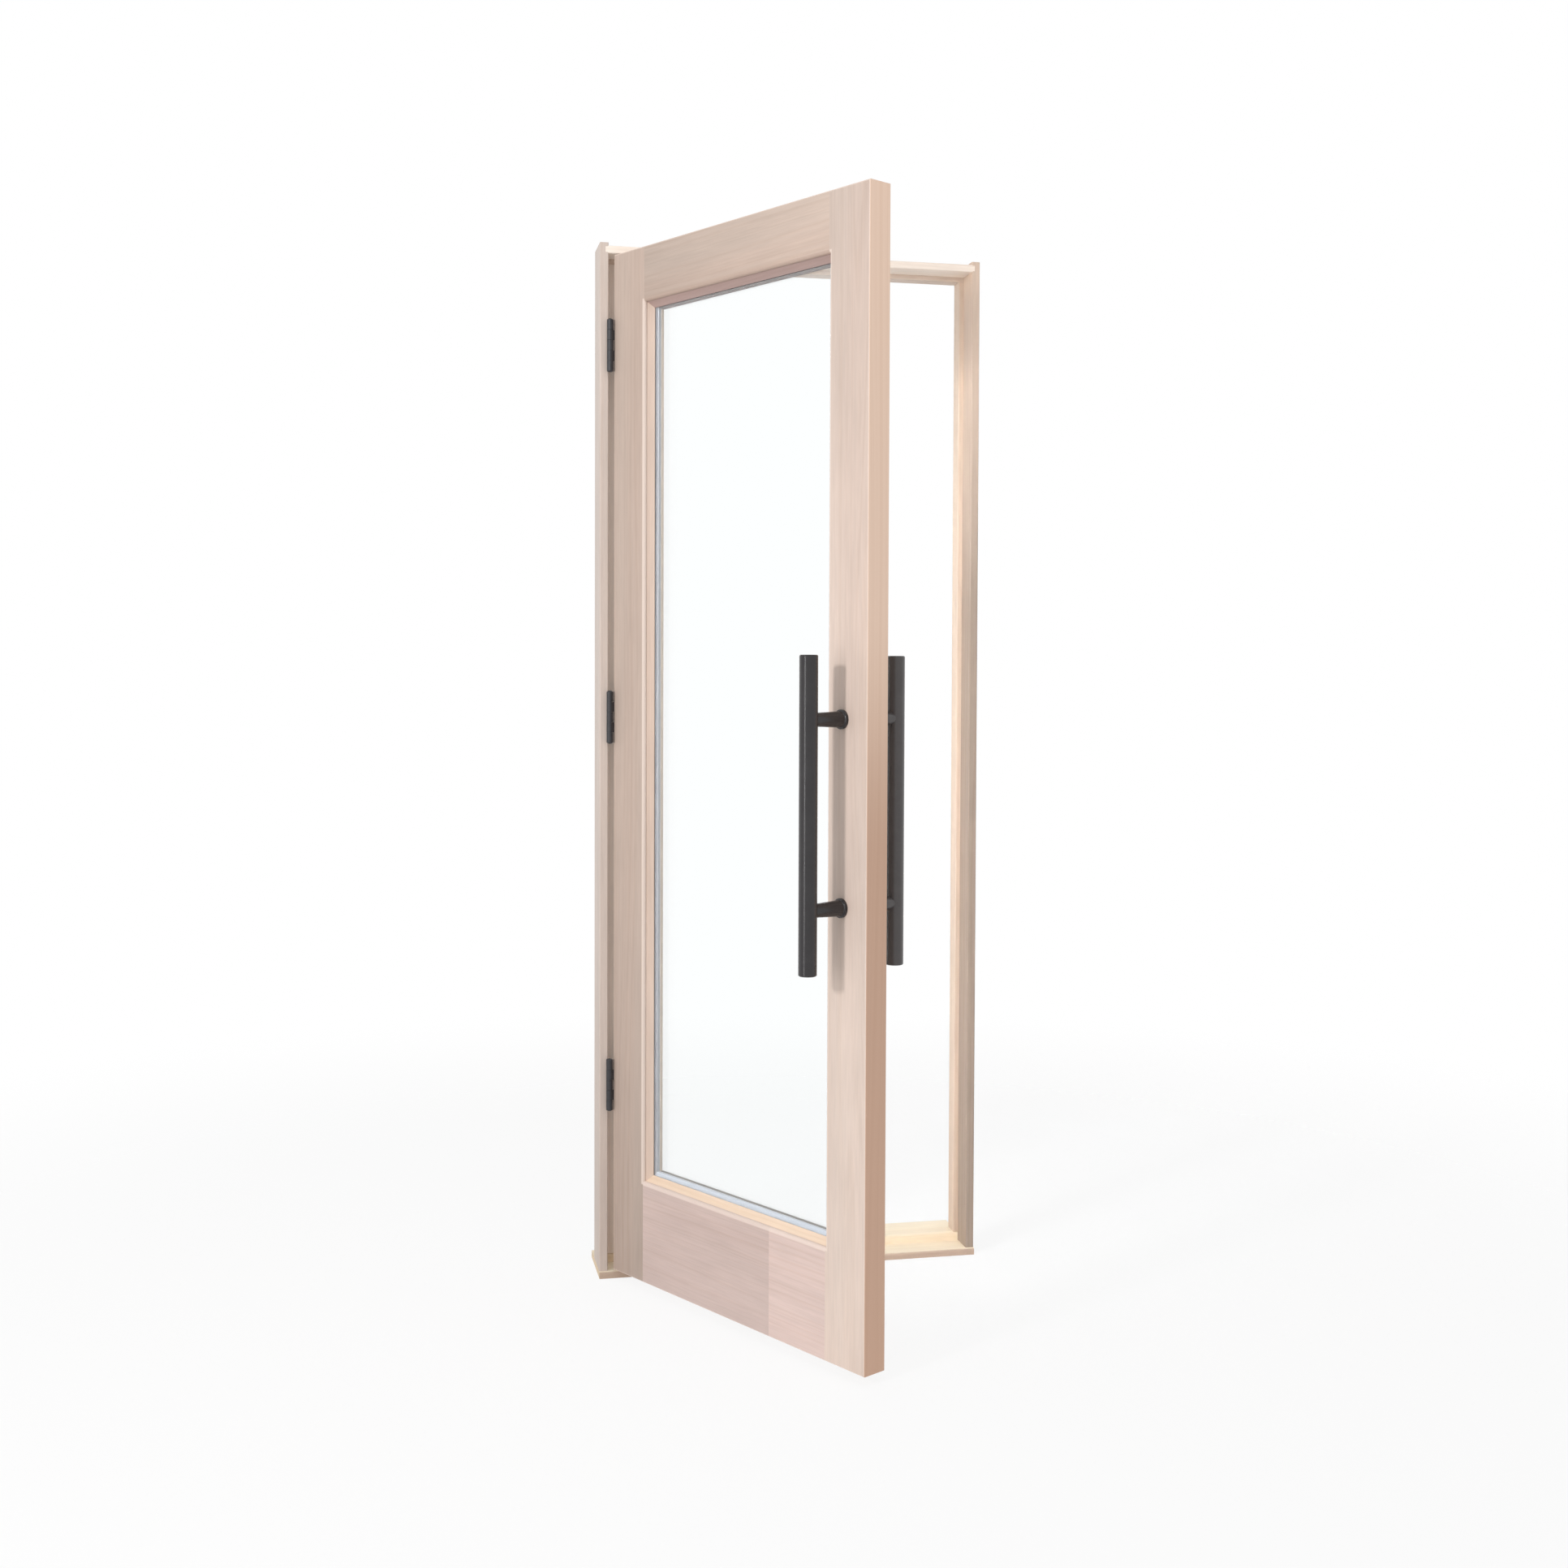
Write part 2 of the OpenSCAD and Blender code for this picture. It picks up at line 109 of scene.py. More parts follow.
hemlock = {
    "colour": "d9c3b5",
    "latewood": (0.84, 0.77, 0.70),  # what the dark side of a growth ring leaves of each channel
    "blush": (1.0, 0.95, 0.935),     # the pinkish tone that drifts through the board
    "endGrain": (0.78, 0.68, 0.58),
    "rings": 150.0,                  # to the metre; about 350 on the real boards, drawn coarser so that they show
    "ringContrast": 0.5,
    "fibreWidth": 0.0022,            # about 0.3 mm on the real boards, drawn coarser so that it shows
    "cloud": 0.05,                   # how far soft broad patches differ in lightness
    "staveLength": 2.4,              # boards are finger-jointed from shorter lengths
    "staveStart": 1.2,               # so most boards are in one length
    "staveTone": 0.05,
    "tone": (-1.0, 1.0, 1.0, 1.0),   # two places along the board and the lightness at each, mostly painted light falloff along the board
    "grain": "upright",              # upright, across (frame) or alongRail (leaf)
    "onLeaf": False,
    "arris": 0.0,                    # how far the rounded arrises of the leaf take on the two colours below, painted light on the edges
    "arrisPaintedLight": ("f4e2d6", "f4e2d6"),  # painted highlights, round the leaf and round the window
    "arrisReach": 0.0068,
    "front": (1.0, 1.0, 1.0),        # what is left of each channel on the front edge, as painted shade
    "freeEdge": None,                # the latch edge: its colour below and above, paler above as painted light
    "pith": (0.19, 0.11),            # how far the heart of the tree lies from the board
    "seed": 0.0,
    "roughness": (0.46, 0.62),
    "bump": 0.16,
}
# outlines on the shut leaf, as middle and half size across X and Z
leafOutline = ((0.395, 0.0, -0.0005), (0.373, 0.0, 1.016))
windowOutline = ((0.395, 0.0, 0.046), (0.271, 0.0, 0.8625))


def edgeDistance(tree, position, outline):
    # how far outside the outline a point lies, and below zero inside it
    middle, half = outline
    moved = addNode(tree, "ShaderNodeVectorMath", {1: middle}, {0: position}, operation="SUBTRACT")
    folded = addNode(tree, "ShaderNodeVectorMath", None, {0: moved.outputs["Vector"]}, operation="ABSOLUTE")
    over = addNode(tree, "ShaderNodeVectorMath", {1: half}, {0: folded.outputs["Vector"]}, operation="SUBTRACT")
    parts = addNode(tree, "ShaderNodeSeparateXYZ", None, {"Vector": over.outputs["Vector"]})
    far = addNode(tree, "ShaderNodeMath", None, {0: parts.outputs["X"], 1: parts.outputs["Z"]}, operation="MAXIMUM")
    return far.outputs[0]


def planedTimber(name, **changes):
    board = {**hemlock, **changes}
    white = (1.0, 1.0, 1.0, 1.0)
    material, tree = newMaterial(name)
    surface = addNode(tree, "ShaderNodeTexCoord")
    position, facing = surface.outputs["Object"], surface.outputs["Normal"]
    if board["onLeaf"]:  # turn the open leaf's coordinates back to the shut leaf
        turnBack = leafTurn.inverted()
        laid = addNode(tree, "ShaderNodeMapping", {
            "Location": leafPin - turnBack @ leafPin,
            "Rotation": (0.0, 0.0, math.radians(leafHang["openAngle"]))}, {"Vector": position})
        position = laid.outputs["Vector"]
        squared = addNode(tree, "ShaderNodeMapping", {
            "Rotation": (0.0, 0.0, math.radians(leafHang["openAngle"]))},
            {"Vector": facing}, vector_type="VECTOR")
        facing = squared.outputs["Vector"]
    upright = board["grain"] == "upright"
    quarter = (0.0, 0.0, 0.0) if upright else (0.0, math.radians(-90.0), 0.0)
    alongGrain = addNode(tree, "ShaderNodeMapping", {"Rotation": quarter}, {"Vector": position})
    apart = addNode(tree, "ShaderNodeSeparateXYZ", None, {"Vector": alongGrain.outputs["Vector"]})

    # finger-jointed staves: each has its own tone and its own place in the log
    stave = addNode(tree, "ShaderNodeMath", {1: board["staveStart"] + 50.0 * board["staveLength"]},
                    {0: apart.outputs["Z"]}, operation="ADD")
    stave = addNode(tree, "ShaderNodeMath", {1: board["staveLength"]}, {0: stave.outputs[0]}, operation="DIVIDE")
    stave = addNode(tree, "ShaderNodeMath", None, {0: stave.outputs[0]}, operation="FLOOR")
    stave = addNode(tree, "ShaderNodeMath", {1: board["seed"]}, {0: stave.outputs[0]}, operation="ADD")
    lot = addNode(tree, "ShaderNodeTexWhiteNoise", None, {"W": stave.outputs[0]}, noise_dimensions="1D")
    inLog = addNode(tree, "ShaderNodeVectorMath", {1: (0.14, 0.1, 3.0)},
                    {0: lot.outputs["Color"], 2: alongGrain.outputs["Vector"]}, operation="MULTIPLY_ADD")
    inLog = addNode(tree, "ShaderNodeMapping", {
        "Location": (board["pith"][0], board["pith"][1], board["seed"]), "Scale": (1.0, 1.0, 0.055)},
        {"Vector": inLog.outputs["Vector"]})

    # growth rings of uneven width round a pith that wanders along the log
    wander = addNode(tree, "ShaderNodeTexNoise", {"Scale": 5.5, "Detail": 3.0, "Roughness": 0.55},
                     {"Vector": inLog.outputs["Vector"]})
    crossSection = addNode(tree, "ShaderNodeVectorMath", {1: (1.0, 1.0, 0.0)},
                           {0: inLog.outputs["Vector"]}, operation="MULTIPLY")
    radius = addNode(tree, "ShaderNodeVectorMath", None, {0: crossSection.outputs["Vector"]}, operation="LENGTH")
    age = addNode(tree, "ShaderNodeMath", {1: 0.11}, {0: wander.outputs["Fac"], 2: radius.outputs["Value"]},
                  operation="MULTIPLY_ADD")
    rings = addNode(tree, "ShaderNodeTexNoise", {"Scale": board["rings"], "Detail": 3.0, "Roughness": 0.6},
                    {"W": age.outputs[0]}, noise_dimensions="1D")
    late = addNode(tree, "ShaderNodeMapRange", {"From Min": 0.42, "From Max": 0.72}, {"Value": rings.outputs["Fac"]},
                   interpolation_type="SMOOTHSTEP")
    fibres = addNode(tree, "ShaderNodeTexNoise", {
        "Scale": 0.5 / board["fibreWidth"], "Detail": 4.0, "Roughness": 0.6},
        {"Vector": inLog.outputs["Vector"]})
    drift = addNode(tree, "ShaderNodeTexNoise", {"Scale": 7.0, "Detail": 3.0, "Roughness": 0.5},
                    {"Vector": inLog.outputs["Vector"]})
    driftAmount = addNode(tree, "ShaderNodeMapRange", {"From Min": 0.36, "From Max": 0.66},
                          {"Value": drift.outputs["Fac"]})
    shown = addNode(tree, "ShaderNodeMapRange", {
        "From Min": 0.38, "From Max": 0.64, "To Min": 0.3 * board["ringContrast"], "To Max": board["ringContrast"]},
        {"Value": drift.outputs["Fac"]})
    lateAmount = addNode(tree, "ShaderNodeMath", None, {
        0: late.outputs["Result"], 1: shown.outputs["Result"]}, operation="MULTIPLY")
    lateTone = addNode(tree, "ShaderNodeMix", {6: white, 7: (*board["latewood"], 1.0)},
                       {0: lateAmount.outputs[0]}, data_type="RGBA")
    blushTone = addNode(tree, "ShaderNodeMix", {6: white, 7: (*board["blush"], 1.0)},
                        {0: driftAmount.outputs["Result"]}, data_type="RGBA")
    toned = addNode(tree, "ShaderNodeVectorMath", None, {
        0: lateTone.outputs[2], 1: blushTone.outputs[2]}, operation="MULTIPLY")
    toned = addNode(tree, "ShaderNodeVectorMath", {1: linearColour(board["colour"])[:3]},
                    {0: toned.outputs["Vector"]}, operation="MULTIPLY")

    # lightness: the stave's own, painted light falloff along the board (on the bottom rail a step between its two
    # boards), soft clouds and fine fibres
    ownLightness = addNode(tree, "ShaderNodeMapRange", {
        "To Min": 1.0 - board["staveTone"], "To Max": 1.0 + board["staveTone"]}, {"Value": lot.outputs["Value"]})
    start, end, startTone, endTone = board["tone"]
    paintedFalloffAndBoardStep = addNode(tree, "ShaderNodeMapRange", {
        "From Min": start, "From Max": end, "To Min": startTone, "To Max": endTone}, {"Value": apart.outputs["Z"]})
    broad = addNode(tree, "ShaderNodeMapping", {"Scale": (1.0, 1.0, 0.22), "Location": (board["seed"], 0.0, 0.0)},
                    {"Vector": alongGrain.outputs["Vector"]})
    clouds = addNode(tree, "ShaderNodeTexNoise", {"Scale": 17.0, "Detail": 3.0, "Roughness": 0.55},
                     {"Vector": broad.outputs["Vector"]})
    cloudTone = addNode(tree, "ShaderNodeMapRange", {
        "From Min": 0.3, "From Max": 0.7, "To Min": 1.0 - board["cloud"], "To Max": 1.0 + board["cloud"]},
        {"Value": clouds.outputs["Fac"]})
    fibreTone = addNode(tree, "ShaderNodeMapRange", {
        "From Min": 0.3, "From Max": 0.7, "To Min": 1.04, "To Max": 0.95}, {"Value": fibres.outputs["Fac"]})
    lightness = ownLightness.outputs["Result"]
    for share in (paintedFalloffAndBoardStep, cloudTone, fibreTone):
        product = addNode(tree, "ShaderNodeMath", None, {0: lightness, 1: share.outputs["Result"]},
                          operation="MULTIPLY")
        lightness = product.outputs[0]
    timber = addNode(tree, "ShaderNodeVectorMath", None, {0: toned.outputs["Vector"], "Scale": lightness},
                     operation="SCALE").outputs["Vector"]

    # sawn across the grain it soaks up the sealer and goes browner
    turnedFacing = addNode(tree, "ShaderNodeMapping", {"Rotation": quarter}, {"Vector": facing}, vector_type="VECTOR")
    facingParts = addNode(tree, "ShaderNodeSeparateXYZ", None, {"Vector": turnedFacing.outputs["Vector"]})
    across = addNode(tree, "ShaderNodeMath", None, {0: facingParts.outputs["Z"]}, operation="ABSOLUTE")
    across = addNode(tree, "ShaderNodeMapRange", {"From Min": 0.55, "From Max": 0.9}, {"Value": across.outputs[0]})
    endTone = addNode(tree, "ShaderNodeMix", {6: white, 7: (*board["endGrain"], 1.0)},
                      {0: across.outputs["Result"]}, data_type="RGBA")
    timber = addNode(tree, "ShaderNodeVectorMath", None, {0: timber, 1: endTone.outputs[2]},
                     operation="MULTIPLY").outputs["Vector"]

    if board["arris"]:  # the rounded arrises are painted lighter as highlights; the top rail's window arris is painted darker as shade
        outside = addNode(tree, "ShaderNodeMapRange", {"From Min": -0.003, "From Max": -0.0005},
                          {"Value": edgeDistance(tree, position, leafOutline)})
        around = addNode(tree, "ShaderNodeMapRange", {
            "From Min": board["arrisReach"], "From Max": board["arrisReach"] - 0.0018},
            {"Value": edgeDistance(tree, position, windowOutline)})
        for mask, colour in zip((outside, around), board["arrisPaintedLight"]):
            amount = addNode(tree, "ShaderNodeMath", {1: board["arris"]}, {0: mask.outputs["Result"]},
                             operation="MULTIPLY")
            timber = addNode(tree, "ShaderNodeMix", {7: linearColour(colour)}, {
                0: amount.outputs[0], 6: timber}, data_type="RGBA").outputs[2]
    if board["freeEdge"]:  # the latch edge takes a warmer colour, paler above as painted light falloff
        height = addNode(tree, "ShaderNodeMapRange", {"From Min": -0.15, "From Max": 0.3},
                         {"Value": apart.outputs["Z"]}, interpolation_type="SMOOTHSTEP")
        edgeColour = addNode(tree, "ShaderNodeMix", {
            6: linearColour(board["freeEdge"][0]), 7: linearColour(board["freeEdge"][1])},
            {0: height.outputs["Result"]}, data_type="RGBA")
        edgeColour = addNode(tree, "ShaderNodeVectorMath", None, {
            0: edgeColour.outputs[2], 1: lateTone.outputs[2]}, operation="MULTIPLY")
        sideways = addNode(tree, "ShaderNodeSeparateXYZ", None, {"Vector": facing})
        onEdge = addNode(tree, "ShaderNodeMapRange", {"From Min": 0.6, "From Max": 0.9},
                         {"Value": sideways.outputs["X"]})
        timber = addNode(tree, "ShaderNodeMix", None, {
            0: onEdge.outputs["Result"], 6: timber, 7: edgeColour.outputs["Vector"]}, data_type="RGBA").outputs[2]
    if min(board["front"]) < 1.0:  # the front edge is painted darker, as shade
        forward = addNode(tree, "ShaderNodeSeparateXYZ", None, {"Vector": facing})
        onFront = addNode(tree, "ShaderNodeMapRange", {"From Min": -0.35, "From Max": -0.8},
                          {"Value": forward.outputs["Y"]})
        paintedFrontShade = addNode(tree, "ShaderNodeMix", {6: white, 7: (*board["front"], 1.0)},
                            {0: onFront.outputs["Result"]}, data_type="RGBA")
        timber = addNode(tree, "ShaderNodeVectorMath", None, {0: timber, 1: paintedFrontShade.outputs[2]},
                         operation="MULTIPLY").outputs["Vector"]

    roughness = addNode(tree, "ShaderNodeMapRange", {
        "To Min": board["roughness"][0], "To Max": board["roughness"][1]}, {"Value": fibres.outputs["Fac"]})
    relief = addNode(tree, "ShaderNodeMath", {1: 0.35},
                     {0: late.outputs["Result"], 2: fibres.outputs["Fac"]}, operation="MULTIPLY_ADD")
    bump = addNode(tree, "ShaderNodeBump", {"Strength": board["bump"], "Distance": 0.0004},
                   {"Height": relief.outputs[0]})
    shader = addNode(tree, "ShaderNodeBsdfPrincipled", {"IOR": 1.5}, {
        "Base Color": timber, "Roughness": roughness.outputs["Result"], "Normal": bump.outputs["Normal"]})
    addNode(tree, "ShaderNodeOutputMaterial", None, {"Surface": shader.outputs["BSDF"]})
    return material


frameTimber = {
    # the tone pairs of the jambs are painted light falloff: the hinge jamb darker towards the bottom, the latch jamb
    # darker below and lighter at the top
    "hinge_jamb": {"seed": 1.3, "pith": (0.15, 0.2), "colour": "d8cac0", "tone": (-0.9, 0.0, 0.9, 1.0)},
    "latch_jamb": {"seed": 4.1, "pith": (-0.95, 0.16), "colour": "c3b1a1", "tone": (0.35, 0.95, 0.66, 1.3)},
    "head_jamb": {"seed": 2.2, "grain": "across", "colour": "fcf2e6"},
    "latch_side_stop": {"seed": 6.4, "pith": (-0.6, 0.1), "colour": "d6c3b1"},
    "head_stop": {"seed": 7.9, "grain": "across", "colour": "d9c8ba"},
}
for nodeName, changes in frameTimber.items():
    dress(planedTimber(nodeName + "_hemlock", **changes), nodeName)

# the sill and its step are a warmer, paler board
# the sill's front edge is painted much darker, as shade
sillTimber = {"grain": "across", "colour": "faeed6", "latewood": (0.9, 0.84, 0.74), "front": (0.56, 0.47, 0.46)}
dress(planedTimber("sill_hemlock", seed=8.2, **sillTimber), "sill")
# the step's front edge gets only a little painted shade
sillTimber["front"] = (0.95, 0.92, 0.9)
dress(planedTimber("sill_step_hemlock", seed=9.6, **sillTimber), "sill_step")

leafTimber = {
    # the tone pairs here are painted light falloff: the hinge stile darker towards the bottom, the latch stile darker
    # towards the top, the top rail darker towards the hinge
    "hinge_stile": {"seed": 11.2, "pith": (0.1, 0.24), "colour": "c6b3a6", "tone": (-0.9, -0.1, 0.84, 1.0)},
    "latch_stile": {"seed": 12.7, "pith": (-0.85, 0.2), "colour": "dbcabe", "ringContrast": 0.3, "tone": (0.3, 0.95, 1.0, 0.84),
                    "freeEdge": ("dbb49b", "ffdfc8")},
    "top_rail": {"seed": 13.1, "grain": "alongRail", "colour": "ccbaad", "tone": (0.124, 0.666, 0.83, 1.0),
                 # round the window its arris is painted shade, where the edge faces down
                 "arrisPaintedLight": ("f4e2d6", "bda394")},
    # the bottom rail is jointed from two boards, the one beside the latch stile paler
    "bottom_rail": {"seed": 14.9, "grain": "alongRail", "colour": "cbb8b1", "staveLength": 0.9,
                    "staveStart": 0.387, "tone": (0.5129, 0.5131, 1.0, 1.24), "arrisReach": 0.0086},
}
for nodeName, changes in leafTimber.items():
    dress(planedTimber(nodeName + "_hemlock", onLeaf=True, arris=0.6, **changes), nodeName)
print("timber dressed")

# ---- pieces swept in mesh code: bevelled beads, the bar between the panes, the stop on the hinge side


def sweptMesh(name, loops, closed=False):
    # one loop of points after another, joined by faces; a closed sweep returns to its first loop
    mesh = bmesh.new()
    rows = [[mesh.verts.new(point) for point in loop] for loop in loops]
    pairs = list(zip(rows, rows[1:])) + ([(rows[-1], rows[0])] if closed else [])
    for first, second in pairs:
        for index in range(len(first)):
            after = (index + 1) % len(first)
            mesh.faces.new((first[index], first[after], second[after], second[index]))
    if not closed:
        mesh.faces.new(rows[0])
        mesh.faces.new(rows[-1])
    bmesh.ops.recalc_face_normals(mesh, faces=mesh.faces)
    for face in mesh.faces:
        face.smooth = True
    data = bpy.data.meshes.new(name)
    mesh.to_mesh(data)
    mesh.free()
    data.set_sharp_from_angle(angle=math.radians(32.0))
    piece = bpy.data.objects.new(name, data)
    bpy.context.scene.collection.objects.link(piece)
    return piece


def arc(middleX, middleY, radius, fromAngle, toAngle, steps=6):
    points = []
    for step in range(steps + 1):
        angle = math.radians(fromAngle + (toAngle - fromAngle) * step / steps)
        points.append((middleX + radius * math.cos(angle), middleY + radius * math.sin(angle)))
    return points


# the window on the shut leaf, and profiles as (distance in from its edge, depth from the outer face)
sashWindow = {"left": 0.124, "right": 0.666, "bottom": -0.8165, "top": 0.9085, "outerFace": -0.046}
beadProfiles = {
    "outer": [(-0.012, 0.007), (-0.0009, 0.007), (0.0, 0.0079), (0.0113, 0.0162), (0.012, 0.0168),
              (0.012, 0.01795), (-0.012, 0.01795)],
    "inner": [(-0.012, 0.03805), (0.012, 0.03805), (0.012, 0.0392), (0.0113, 0.0398), (0.0, 0.045)]
             + arc(-0.006, 0.045, 0.006, 10.0, 90.0) + [(-0.012, 0.051)],
}
spacerProfile = [(-0.001, 0.0221), (0.0192, 0.0221), (0.02, 0.0229), (0.02, 0.0331), (0.0192, 0.0339), (-0.001, 0.0339)]
butylProfile = [(0.0195, 0.0285), (0.0211, 0.029), (0.0216, 0.0339), (0.0195, 0.0339)]
unitRaised = 0.0065  # the sealed unit sits high in its rebate, so less of the bar shows at the top


def windowCorner(profile, corner, raised=0.0):
    # the profile at one mitred corner: 0 bottom left, 1 bottom right, 2 top right, 3 top left
    loop = []
    for inward, depth in profile:
        x = sashWindow["left"] + inward if corner in (0, 3) else sashWindow["right"] - inward
        z = sashWindow["bottom"] + inward if corner in (0, 1) else sashWindow["top"] - inward + raised
        loop.append(leafPoint(x, sashWindow["outerFace"] + depth, z))
    return loop


beadTimber = {"onLeaf": True, "latewood": (0.9, 0.82, 0.72), "blush": (1.0, 0.97, 0.95)}
# each side's bead colour is painted light and shade: the top bead, facing down, darkest and the bottom bead lightest
beadLitAndShadedColours = {"bottom": "f3dcc5", "latch": "e6d0bd", "top": "b59b95", "hinge": "d6c0b1"}
beadSides = {"bottom": (0, 1), "latch": (1, 2), "top": (2, 3), "hinge": (3, 0)}
for face, profile in beadProfiles.items():
    for number, (side, corners) in enumerate(beadSides.items()):
        nodeName = "%s_%s_bead" % (face, side)
        piece = sweptMesh(nodeName + "_bevelled", [windowCorner(profile, corner) for corner in corners])
        grain = "upright" if side in ("hinge", "latch") else "alongRail"
        piece.data.materials.append(planedTimber(
            nodeName + "_hemlock", grain=grain, seed=20.3 + number * 1.7 + len(profile), colour=beadLitAndShadedColours[side], **beadTimber))
        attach(piece, "leaf")
        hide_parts(nodeName)

# the stop on the hinge side is a wide board, seen past the open leaf
hingeStop = {"left": 0.017, "right": 0.037, "front": 0.010, "back": 0.046, "bottom": -1.0035, "top": 1.0105,
             "eased": 0.002}
eased = hingeStop["eased"]
outline = ([(hingeStop["left"], hingeStop["front"])]
           + arc(hingeStop["right"] - eased, hingeStop["front"] + eased, eased, -90.0, 0.0, 4)
           + arc(hingeStop["right"] - eased, hingeStop["back"] - eased, eased, 0.0, 90.0, 4)
           + [(hingeStop["left"], hingeStop["back"])])
stopLoops = [[(x, y, z) for x, y in outline] for z in (hingeStop["bottom"], hingeStop["top"])]
piece = sweptMesh("hinge_side_stop_board", stopLoops)
# its pale colour is painted light that lifts the shade in the gap beside the hinges
piece.data.materials.append(planedTimber("hinge_side_stop_hemlock", seed=5.5, pith=(0.3, 0.1), colour="f4ebe2"))
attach(piece, "frame")
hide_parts("hinge_side_stop")
print("beads and hinge-side stop made")

# ---- sealed double glazing: clear float glass, which tints a little green through its thickness

# the mill aluminium and the butyl look darker on the sides that less light reaches
glazing = {
    "tint": "feffff", "ior": 1.52,
    "spacer": {"bottom": ("b6bcc6", "ccd1da"), "latch": ("a4a8b0", "b9bdc6"), "top": ("7c7674", "8d8785"),
               "hinge": ("989ba1", "aaadb3")},
    "butyl": {"bottom": ("6b6662", "7d7874"), "latch": ("7d7874", "8d8884"), "top": ("857a78", "968b89"),
              "hinge": ("a59789", "b8aa9b")},
}


def floatGlass(name):
    material, tree = newMaterial(name)
    coords = addNode(tree, "ShaderNodeTexCoord")
    waviness = addNode(tree, "ShaderNodeTexNoise", {"Scale": 9.0, "Detail": 1.0}, {"Vector": coords.outputs["Object"]})
    ripple = addNode(tree, "ShaderNodeBump", {"Strength": 0.02, "Distance": 0.0002},
                     {"Height": waviness.outputs["Fac"]})
    glass = addNode(tree, "ShaderNodeBsdfPrincipled", {
        "Base Color": linearColour(glazing["tint"]), "Roughness": 0.0, "IOR": glazing["ior"],
        "Transmission Weight": 1.0}, {"Normal": ripple.outputs["Normal"]})
    clear = addNode(tree, "ShaderNodeBsdfTransparent")
    rays = addNode(tree, "ShaderNodeLightPath")  # lamps shine through a window
    mixed = addNode(tree, "ShaderNodeMixShader", None, {
        0: rays.outputs["Is Shadow Ray"], 1: glass.outputs["BSDF"], 2: clear.outputs["BSDF"]})
    addNode(tree, "ShaderNodeOutputMaterial", None, {"Surface": mixed.outputs["Shader"]})
    return material


def speckled(name, colours, metallic, roughness):
    # a dull surface with a fine grain: the folded aluminium bar, and the line of butyl along it
    material, tree = newMaterial(name)
    coords = addNode(tree, "ShaderNodeTexCoord")
    laid = addNode(tree, "ShaderNodeMapping", {"Rotation": (0.0, 0.0, math.radians(leafHang["openAngle"]))},
                   {"Vector": coords.outputs["Object"]})
    grain = addNode(tree, "ShaderNodeTexNoise", {"Scale": 320.0, "Detail": 3.0}, {"Vector": laid.outputs["Vector"]})
    tone = addNode(tree, "ShaderNodeMix", None, {0: grain.outputs["Fac"]}, data_type="RGBA")
    tone.inputs[6].default_value = linearColour(colours[0])
    tone.inputs[7].default_value = linearColour(colours[1])
    rough = addNode(tree, "ShaderNodeMapRange", {"To Min": roughness[0], "To Max": roughness[1]},
                    {"Value": grain.outputs["Fac"]})
    skin = addNode(tree, "ShaderNodeBump", {"Strength": 0.1, "Distance": 0.0001}, {"Height": grain.outputs["Fac"]})
    shader = addNode(tree, "ShaderNodeBsdfPrincipled", {"Metallic": metallic}, {
        "Base Color": tone.outputs[2], "Roughness": rough.outputs["Result"], "Normal": skin.outputs["Normal"]})
    addNode(tree, "ShaderNodeOutputMaterial", None, {"Surface": shader.outputs["BSDF"]})
    return material


dress(floatGlass("clear_float_glass"), "outer_pane", "inner_pane")
for pieceName, profile, metallic, roughness, key in (
        ("glass_spacer_bar", spacerProfile, 0.35, (0.35, 0.5), "spacer"),
        ("glass_spacer_butyl", butylProfile, 0.0, (0.6, 0.75), "butyl")):
    loops = [windowCorner(profile, corner, unitRaised) for corner in range(4)]
    piece = sweptMesh(pieceName, loops, closed=True)
    for side, colours in glazing[key].items():
        piece.data.materials.append(speckled("%s_%s" % (pieceName, side), colours, metallic, roughness))
    for polygon in piece.data.polygons:
        polygon.material_index = polygon.index // len(profile)
    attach(piece, "leaf")
    if key == "spacer":
        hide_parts("glass_spacer")

# ---- metalwork


def coatedSteel(name, base, worn, roughness, grainSize, bump):
    # powder coat: a faint orange-peel texture, a little paler where hands and the pin rub it
    material, tree = newMaterial(name)
    coords = addNode(tree, "ShaderNodeTexCoord")
    peel = addNode(tree, "ShaderNodeTexNoise", {"Scale": 1.0 / grainSize, "Detail": 2.0, "Roughness": 0.5},
                   {"Vector": coords.outputs["Object"]})
    rubbed = addNode(tree, "ShaderNodeTexNoise", {"Scale": 26.0, "Detail": 4.0, "Roughness": 0.65},
                     {"Vector": coords.outputs["Object"]})
    wear = addNode(tree, "ShaderNodeMapRange", {"From Min": 0.45, "From Max": 0.75, "To Max": 0.6},
                   {"Value": rubbed.outputs["Fac"]})
    tone = addNode(tree, "ShaderNodeMix", None, {0: wear.outputs["Result"]}, data_type="RGBA")
    tone.inputs[6].default_value = linearColour(base)
    tone.inputs[7].default_value = linearColour(worn)
    rough = addNode(tree, "ShaderNodeMapRange", {
        "From Min": 0.3, "From Max": 0.7, "To Min": roughness[0], "To Max": roughness[1]},
        {"Value": rubbed.outputs["Fac"]})
    skin = addNode(tree, "ShaderNodeBump", {"Strength": bump, "Distance": 0.0002}, {"Height": peel.outputs["Fac"]})
    shader = addNode(tree, "ShaderNodeBsdfPrincipled", {"IOR": 1.5}, {
        "Base Color": tone.outputs[2], "Roughness": rough.outputs["Result"], "Normal": skin.outputs["Normal"]})
    addNode(tree, "ShaderNodeOutputMaterial", None, {"Surface": shader.outputs["BSDF"]})
    return material


hingeFinish = coatedSteel("black_powder_coated_steel", "28282c", "3c3c40", (0.38, 0.52), 0.0011, 0.25)
